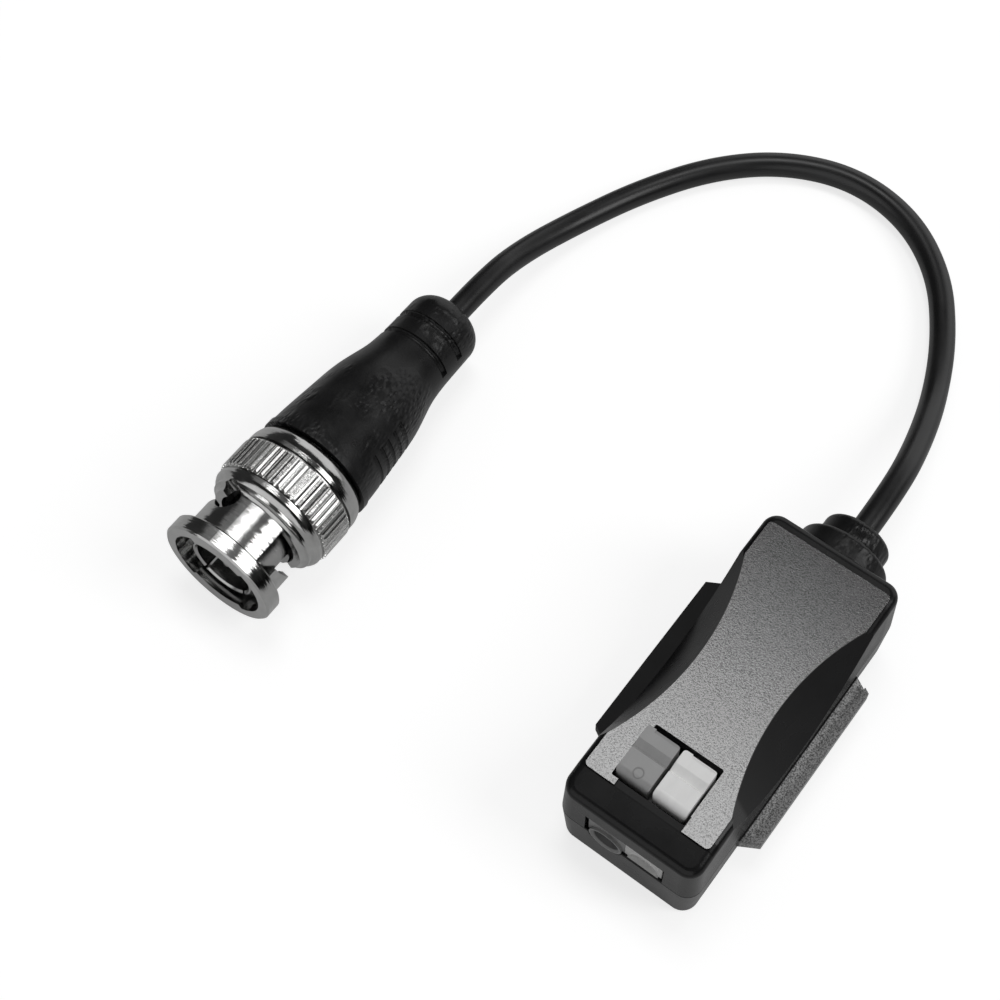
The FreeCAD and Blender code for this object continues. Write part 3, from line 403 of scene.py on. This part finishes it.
def button_plastic(name, colour, mark=False, hole_painted_shade=False):
    """Moulded button plastic with faint flow marks, and, where asked, an ejector mark and painted shade in the wire
    entry's hole.
    """
    material, tree, shader = new_material(name)
    point = object_point(tree)
    flow = noise(tree, object_point(tree, (1, 0.35, 1)), 1.2 * MM, 4)
    shade = mix_colour(tree, spread(tree, flow, 0.0, 1.0, 0.3, 0.7), tuple(c * 0.94 for c in colour),
                       tuple(min(c * 1.05, 1) for c in colour))
    x, y, z = split_point(tree)
    base = None
    if hole_painted_shade:
        away = distance_from(tree, x, z, GREY_ENTRY)
        # Painted shade: inside the entry's radius the grey plastic is darkened almost to black, as the shade of the
        # deep hole
        inside = spread(tree, away, 1.0, 0.0, ENTRY_RADIUS - 0.06 * MM, ENTRY_RADIUS + 0.06 * MM)
        shade = mix_colour(tree, inside, shade, tuple(c * 0.06 for c in colour))
    if mark:
        away = distance_from(tree, x, y, MARK_AT)
        ring = between(tree, away, MARK_RADIUS - 0.06 * MM, MARK_RADIUS + 0.06 * MM, 0.04 * MM)
        shade = mix_colour(tree, ring, shade, tuple(c * 0.72 for c in colour))
        base = bump(tree, ring, 0.03 * MM)
    tree.links.new(shade, shader.inputs["Base Color"])
    tree.links.new(spread(tree, flow, 0.36, 0.48, 0.3, 0.7), shader.inputs["Roughness"])
    shader.inputs["Subsurface Weight"].default_value = 0.08
    shader.inputs["Subsurface Radius"].default_value = (1.0, 1.0, 1.0)
    shader.inputs["Subsurface Scale"].default_value = 0.6 * MM
    tree.links.new(bump(tree, noise(tree, point, 0.3 * MM, 3), 0.006 * MM, 1.0, base), shader.inputs["Normal"])
    return material


def turning_marks(tree, amount):
    """Normal that leans sideways by a different amount in each fine ring, as a turning tool leaves it."""
    axis = Matrix.Rotation(PLUG_TURN[2], 3, "Z") @ Matrix.Rotation(PLUG_TURN[0], 3, "X") @ Vector((0, 1, 0))
    shape = tree.nodes.new("ShaderNodeNewGeometry")
    sideways = add_node(tree, "ShaderNodeVectorMath", operation="CROSS_PRODUCT")
    sideways.inputs[0].default_value = axis
    tree.links.new(shape.outputs["Normal"], sideways.inputs[1])
    streaks = noise(tree, plug_point(tree, (0.05, 1, 0.05)), 0.09 * MM, 2, 0.6)
    lean = math_of(tree, "MULTIPLY", math_of(tree, "SUBTRACT", streaks, 0.5), amount)
    scaled = add_node(tree, "ShaderNodeVectorMath", operation="SCALE")
    tree.links.new(sideways.outputs["Vector"], scaled.inputs[0])
    tree.links.new(lean, scaled.inputs["Scale"])
    added = add_node(tree, "ShaderNodeVectorMath", operation="ADD")
    tree.links.new(shape.outputs["Normal"], added.inputs[0])
    tree.links.new(scaled.outputs["Vector"], added.inputs[1])
    unit = add_node(tree, "ShaderNodeVectorMath", operation="NORMALIZE")
    tree.links.new(added.outputs["Vector"], unit.inputs[0])
    return unit.outputs["Vector"]


def plated_metal(name, colour, roughness=0.12, knurled=False):
    """Bright plating over turned metal: rings round the plug's axis, stains, small pits, and a duller knurl."""
    material, tree, shader = new_material(name)
    shader.inputs["Metallic"].default_value = 1.0
    rings = noise(tree, plug_point(tree, (0.12, 1, 0.12)), 0.11 * MM, 3, 0.6)
    cloud = noise(tree, plug_point(tree), 1.6 * MM, 5, 0.6)
    shade = mix_colour(tree, spread(tree, cloud, 0.0, 1.0, 0.3, 0.7), tuple(c * 0.88 for c in colour),
                       tuple(c * 1.06 for c in colour))
    dull = spread(tree, cloud, roughness * 0.75, roughness * 1.5, 0.3, 0.75)
    if knurled:
        split = tree.nodes.new("ShaderNodeSeparateXYZ")
        tree.links.new(plug_point(tree), split.inputs[0])
        ribs = between(tree, split.outputs[1], *KNURL, 0.05 * MM)
        shade = mix_colour(tree, ribs, shade, tuple(min(c * 1.25, 1) for c in colour))
        dull = mix_value(tree, ribs, dull, 0.23)
    tree.links.new(shade, shader.inputs["Base Color"])
    tree.links.new(dull, shader.inputs["Roughness"])
    turned = bump(tree, rings, 0.0040 * MM, 1.0, turning_marks(tree, 0.34))
    pits = noise(tree, plug_point(tree), 0.16 * MM, 2, 0.7)
    tree.links.new(bump(tree, pits, 0.0050 * MM, 1.0, turned), shader.inputs["Normal"])
    return material


def moulded_rubber(name, colour):
    """Soft black moulding with shallow flow wrinkles that catch the light."""
    material, tree, shader = new_material(name)
    point = object_point(tree)
    wide = noise(tree, point, 3 * MM, 4)
    shade = mix_colour(tree, spread(tree, wide, 0.0, 1.0, 0.3, 0.7), tuple(c * 0.8 for c in colour),
                       tuple(c * 1.3 for c in colour))
    tree.links.new(shade, shader.inputs["Base Color"])
    tree.links.new(spread(tree, wide, 0.26, 0.40, 0.3, 0.7), shader.inputs["Roughness"])
    shader.inputs["Specular IOR Level"].default_value = 0.30
    wrinkle = add_node(tree, "ShaderNodeTexVoronoi", Scale=1 / (0.42 * MM))
    wrinkle.feature = "SMOOTH_F1"
    tree.links.new(object_point(tree, (1.0, 0.55, 1.0)), wrinkle.inputs["Vector"])
    patch = spread(tree, noise(tree, point, 5 * MM, 2), 0.0, 1.0, 0.48, 0.62)
    height = math_of(tree, "MULTIPLY", wrinkle.outputs["Distance"], patch)
    first = bump(tree, height, 0.14 * MM)
    tree.links.new(bump(tree, noise(tree, point, 0.2 * MM, 3), 0.010 * MM, 1.0, first), shader.inputs["Normal"])
    return material


def plain_finish(name, colour, roughness, metallic=0.0, size=0.8 * MM):
    """Simple finish for small inner pieces, with a little colour and gloss variation."""
    material, tree, shader = new_material(name)
    shader.inputs["Metallic"].default_value = metallic
    cloud = noise(tree, object_point(tree), size, 4)
    shade = mix_colour(tree, spread(tree, cloud, 0.0, 1.0, 0.3, 0.7), tuple(c * 0.85 for c in colour),
                       tuple(min(c * 1.12, 1) for c in colour))
    tree.links.new(shade, shader.inputs["Base Color"])
    tree.links.new(spread(tree, cloud, roughness * 0.85, min(roughness * 1.2, 1), 0.3, 0.7),
                   shader.inputs["Roughness"])
    tree.links.new(bump(tree, noise(tree, object_point(tree), size / 6, 3), size / 250), shader.inputs["Normal"])
    return material


def board_weave_finish(name, colour):
    """Board laminate with a faint weave."""
    material, tree, shader = new_material(name)
    weave = add_node(tree, "ShaderNodeTexWave", Scale=1 / (1.2 * MM), Distortion=0.4, Detail=1.0)
    tree.links.new(object_point(tree), weave.inputs["Vector"])
    shade = mix_colour(tree, weave.outputs["Fac"], tuple(c * 0.85 for c in colour), tuple(c * 1.1 for c in colour))
    tree.links.new(shade, shader.inputs["Base Color"])
    tree.links.new(spread(tree, weave.outputs["Fac"], 0.35, 0.45), shader.inputs["Roughness"])
    return material


class BALUN_OT_housing(bpy.types.Operator):
    """Finish the two shells"""

    bl_idname = "balun.housing"
    bl_label = "Housing"

    def execute(self, context):
        dress(["upper_shell"], upper_plastic())
        dress(["lower_shell"], lower_plastic())
        return {"FINISHED"}


class BALUN_OT_terminals(bpy.types.Operator):
    """Finish the wire terminals and their buttons"""

    bl_idname = "balun.terminals"
    bl_label = "Terminals"

    def execute(self, context):
        look = settings("housing")
        dress(["terminal_grey"], button_plastic("grey_terminal_plastic", tuple(look.grey), hole_painted_shade=True))
        dress(["button_grey"], button_plastic("grey_button_plastic", tuple(look.grey), mark=True))
        dress(["terminal_light", "button_light"], button_plastic("light_plastic", tuple(look.light)))
        return {"FINISHED"}


class BALUN_OT_inside(bpy.types.Operator):
    """Finish what the housing holds"""

    bl_idname = "balun.inside"
    bl_label = "Inner parts"

    def execute(self, context):
        dress(["clamp_spring_grey", "clamp_spring_light"], plain_finish("spring_strip", (0.55, 0.55, 0.55), 0.3, 1.0))
        dress(["contact_grey", "contact_light"], plain_finish("contact_strip", (0.6, 0.52, 0.34), 0.28, 1.0))
        dress(["circuit_board"], board_weave_finish("board_laminate", (0.03, 0.12, 0.06)))
        dress(["transformer_core"], plain_finish("ferrite", (0.05, 0.05, 0.05), 0.55))
        dress(["transformer_windings"], plain_finish("enamelled_wire", (0.45, 0.2, 0.08), 0.3, 1.0, 0.3 * MM))
        dress(["surge_suppressor", "board_chips"], plain_finish("chip_ceramic", (0.08, 0.08, 0.085), 0.5))
        dress(["tail_leads"], plain_finish("lead_core", (0.5, 0.5, 0.48), 0.4))
        return {"FINISHED"}


class BALUN_OT_plug(bpy.types.Operator):
    """Finish the plug's plated and moulded pieces"""

    bl_idname = "balun.plug"
    bl_label = "Plug"

    def execute(self, context):
        look = settings("plug")
        dress(["coupling_nut"], plated_metal("nut_plating", tuple(look.plating), knurled=True))
        dress(["outer_contact_sleeve", "plug_body", "thrust_washer", "back_ring", "crimp_ferrule"],
              plated_metal("inner_plating", tuple(c * 0.9 for c in look.plating), 0.2))
        dress(["wave_washer"], plain_finish("wave_steel", (0.5, 0.5, 0.5), 0.3, 1.0))
        dress(["centre_pin"], plain_finish("pin_plating", (0.42, 0.42, 0.41), 0.25, 1.0))
        dress(["plug_insulator"], plain_finish("white_insulator", (0.36, 0.36, 0.355), 0.5))
        dress(["plug_gasket"], plain_finish("silicone", (0.12, 0.12, 0.12), 0.6))
        dress(["plug_boot", "strain_relief"], moulded_rubber("moulded_rubber", tuple(look.rubber)))
        return {"FINISHED"}


def jacket_plastic():
    """Smooth satin jacket of the lead."""
    look = settings("lead")
    material, tree, shader = new_material("lead_jacket")
    point = object_point(tree)
    wide = noise(tree, point, 5 * MM, 3)
    shade = mix_colour(tree, spread(tree, wide, 0.0, 1.0, 0.3, 0.7), tuple(c * 0.85 for c in look.jacket),
                       tuple(c * 1.2 for c in look.jacket))
    tree.links.new(shade, shader.inputs["Base Color"])
    tree.links.new(spread(tree, wide, 0.30, 0.40, 0.3, 0.7), shader.inputs["Roughness"])
    tree.links.new(bump(tree, noise(tree, point, 0.35 * MM, 2), 0.003 * MM), shader.inputs["Normal"])
    return material


class BALUN_OT_lead(bpy.types.Operator):
    """Lay the lead from the strain relief to the plug"""

    bl_idname = "balun.lead"
    bl_label = "Lead"

    def execute(self, context):
        look = settings("lead")
        curve = bpy.data.curves.new("lead", "CURVE")
        curve.dimensions = "3D"
        curve.bevel_depth = look.diameter / 2
        curve.bevel_resolution = 8
        curve.resolution_u = 24
        curve.use_fill_caps = True
        points = [LEAD_START] + [Vector(p) * MM for p in LEAD_ROUTE] + [LEAD_END]
        spline = curve.splines.new("NURBS")
        spline.points.add(len(points) - 1)
        for place, point in zip(spline.points, points):
            place.co = (*point, 1.0)
        spline.order_u = 3
        spline.use_endpoint_u = True
        lead = bpy.data.objects.new("lead", curve)
        context.scene.collection.objects.link(lead)
        curve.materials.append(jacket_plastic())
        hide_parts("cord")
        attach(lead, "housing")
        return {"FINISHED"}


def facing(direction, distance, tangent):
    """Placement at a distance from the part, turned to face it, with its X along the tangent."""
    away = Vector(direction).normalized()
    along = Vector(tangent)
    across = (along - along.dot(away) * away).normalized()
    turn = Matrix((across, away.cross(across), away)).transposed().to_4x4()
    return Matrix.Translation(away * distance) @ turn


def soft_box(name, direction, distance, size, radiance, tangent=(1, 0, 0)):
    """Rectangular studio light that faces the part from a direction."""
    data = bpy.data.lights.new(name, "AREA")
    data.shape = "RECTANGLE"
    data.size, data.size_y = size
    data.energy = radiance * math.pi * size[0] * size[1]
    lamp = bpy.data.objects.new(name, data)
    bpy.context.scene.collection.objects.link(lamp)
    lamp.matrix_world = facing(direction, distance, tangent)


def grey_flag(name, shade, corners):
    """Grey studio flag that shapes the reflections in the plating, and shows nowhere else."""
    mesh = bpy.data.meshes.new(name)
    mesh.from_pydata(corners, [], [(0, 1, 2, 3)])
    flag = bpy.data.objects.new(name, mesh)
    bpy.context.scene.collection.objects.link(flag)
    material, tree, shader = new_material(name)
    cloth = noise(tree, object_point(tree), 0.05, 2)
    low, high = shade * 0.8, shade * 1.2
    tree.links.new(mix_colour(tree, cloth, (low, low, low), (high, high, high)), shader.inputs["Base Color"])
    shader.inputs["Roughness"].default_value = 1.0
    shader.inputs["Specular IOR Level"].default_value = 0.0
    mesh.materials.append(material)
    flag.visible_camera = False
    flag.visible_diffuse = False
    flag.visible_shadow = False


def pale_floor_material():
    """Pale floor that reads as white, and keeps the part's shadow."""
    look = settings("stage")
    material, tree, shader = new_material("pale_floor")
    shader.inputs["Base Color"].default_value = rgba(look.floor)
    shader.inputs["Roughness"].default_value = 0.9
    shader.inputs["Specular IOR Level"].default_value = 0.0
    path = tree.nodes.new("ShaderNodeLightPath")
    mirrored = math_of(tree, "MULTIPLY", path.outputs["Is Glossy Ray"], 0.26)
    seen = math_of(tree, "MAXIMUM", path.outputs["Is Camera Ray"], mirrored)
    seen = math_of(tree, "MAXIMUM", seen, path.outputs["Is Transmission Ray"])
    shader.inputs["Emission Color"].default_value = (1, 1, 1, 1)
    tree.links.new(math_of(tree, "MULTIPLY", seen, 0.74), shader.inputs["Emission Strength"])
    return material


def make_world():
    """Plain world: a dim fill for the part, and white behind it."""
    world = bpy.data.worlds.new("studio")
    world.use_nodes = True
    bpy.context.scene.world = world
    tree = world.node_tree
    background = tree.nodes["Background"]
    background.inputs["Color"].default_value = (1, 1, 1, 1)
    path = tree.nodes.new("ShaderNodeLightPath")
    seen = math_of(tree, "MAXIMUM", path.outputs["Is Camera Ray"], path.outputs["Is Glossy Ray"])
    seen = math_of(tree, "MAXIMUM", seen, path.outputs["Is Transmission Ray"])
    tree.links.new(spread(tree, seen, 0.25, 1.0), background.inputs["Strength"])


class BALUN_OT_stage(bpy.types.Operator):
    """Add the floor, the lights and the camera"""

    bl_idname = "balun.stage"
    bl_label = "Stage"

    def execute(self, context):
        look = settings("stage")
        scene = context.scene
        bpy.ops.object.select_all(action="DESELECT")
        bpy.ops.mesh.primitive_plane_add(size=6.0, location=(0, 0, 0))
        floor = context.object
        floor.name = "floor"
        floor.data.materials.append(pale_floor_material())
        make_world()
        soft_box("overhead_box", (-0.11, 0.23, 0.97), 0.9, (0.36, 0.24), 5.2)
        soft_box("overhead_edge", (-0.385, 0.225, 0.90), 0.9, (0.15, 0.24), 0.8)
        soft_box("left_panel", (-0.60, 0.25, 0.76), 0.9, (0.30, 0.30), 0.22, (1, 0, 1))
        soft_box("middle_panel", (0.26, 0.25, 0.93), 0.9, (0.26, 0.24), 0.24)
        soft_box("right_box", (0.70, 0.26, 0.70), 0.9, (0.46, 0.34), 4.5, (1, 0, -1))
        grey_flag("left_flag", 0.14, [(-1.1, -1.2, 0.0), (-1.1, 1.6, 0.0), (-1.1, 1.6, 1.4), (-1.1, -1.2, 1.4)])
        grey_flag("right_flag", 0.08, [(1.3, -1.2, 0.0), (1.3, 1.6, 0.0), (1.3, 1.6, 1.4), (1.3, -1.2, 1.4)])
        grey_flag("top_flag", 0.16, [(-1.3, -1.0, 1.35), (1.3, -1.0, 1.35), (1.3, 1.6, 1.35), (-1.3, 1.6, 1.35)])

        away = Vector((math.sin(look.azimuth) * math.cos(look.elevation),
                       -math.cos(look.azimuth) * math.cos(look.elevation), math.sin(look.elevation)))
        data = bpy.data.cameras.new("camera")
        data.lens = look.lens
        data.sensor_width = 36.0
        data.clip_start = 0.001
        data.clip_end = 20.0
        camera = bpy.data.objects.new("camera", data)
        scene.collection.objects.link(camera)
        turn = (-away).to_track_quat("-Z", "Y").to_matrix() @ Matrix.Rotation(look.roll, 3, "Z")
        camera.matrix_world = Matrix.Translation(Vector(look.aim) + away * look.distance) @ turn.to_4x4()
        scene.camera = camera
        scene.view_settings.view_transform = "Standard"
        return {"FINISHED"}


OPERATORS = (BALUN_OT_housing, BALUN_OT_terminals, BALUN_OT_inside, BALUN_OT_plug, BALUN_OT_lead,
             BALUN_OT_stage)


class BALUN_PT_panel(bpy.types.Panel):
    """Lists the steps that finish the balun"""

    bl_label = "Balun"
    bl_idname = "BALUN_PT_panel"
    bl_space_type = "VIEW_3D"
    bl_region_type = "UI"
    bl_category = "Balun"

    def draw(self, context):
        for kind in ("housing", "plug", "lead", "stage"):
            box = self.layout.box()
            group = settings(kind)
            for key in group.__class__.__annotations__:
                box.prop(group, key)
        for step in OPERATORS:
            self.layout.operator(step.bl_idname)


def register():
    """Register the settings, the steps and the panel."""
    for kind in (*SETTINGS, *OPERATORS, BALUN_PT_panel):
        bpy.utils.register_class(kind)
    bpy.types.Scene.balun_housing = bpy.props.PointerProperty(type=HousingLook)
    bpy.types.Scene.balun_plug = bpy.props.PointerProperty(type=PlugLook)
    bpy.types.Scene.balun_lead = bpy.props.PointerProperty(type=LeadLook)
    bpy.types.Scene.balun_stage = bpy.props.PointerProperty(type=StageLook)


def unregister():
    """Take back what register added."""
    for kind in ("housing", "plug", "lead", "stage"):
        delattr(bpy.types.Scene, "balun_" + kind)
    for kind in reversed((*SETTINGS, *OPERATORS, BALUN_PT_panel)):
        bpy.utils.unregister_class(kind)


def main():
    """Finish the part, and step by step."""
    register()
    bpy.ops.balun.housing()
    bpy.ops.balun.terminals()
    bpy.ops.balun.inside()
    bpy.ops.balun.plug()
    bpy.ops.balun.lead()
    bpy.ops.balun.stage()


if __name__ == "__main__":
    main()
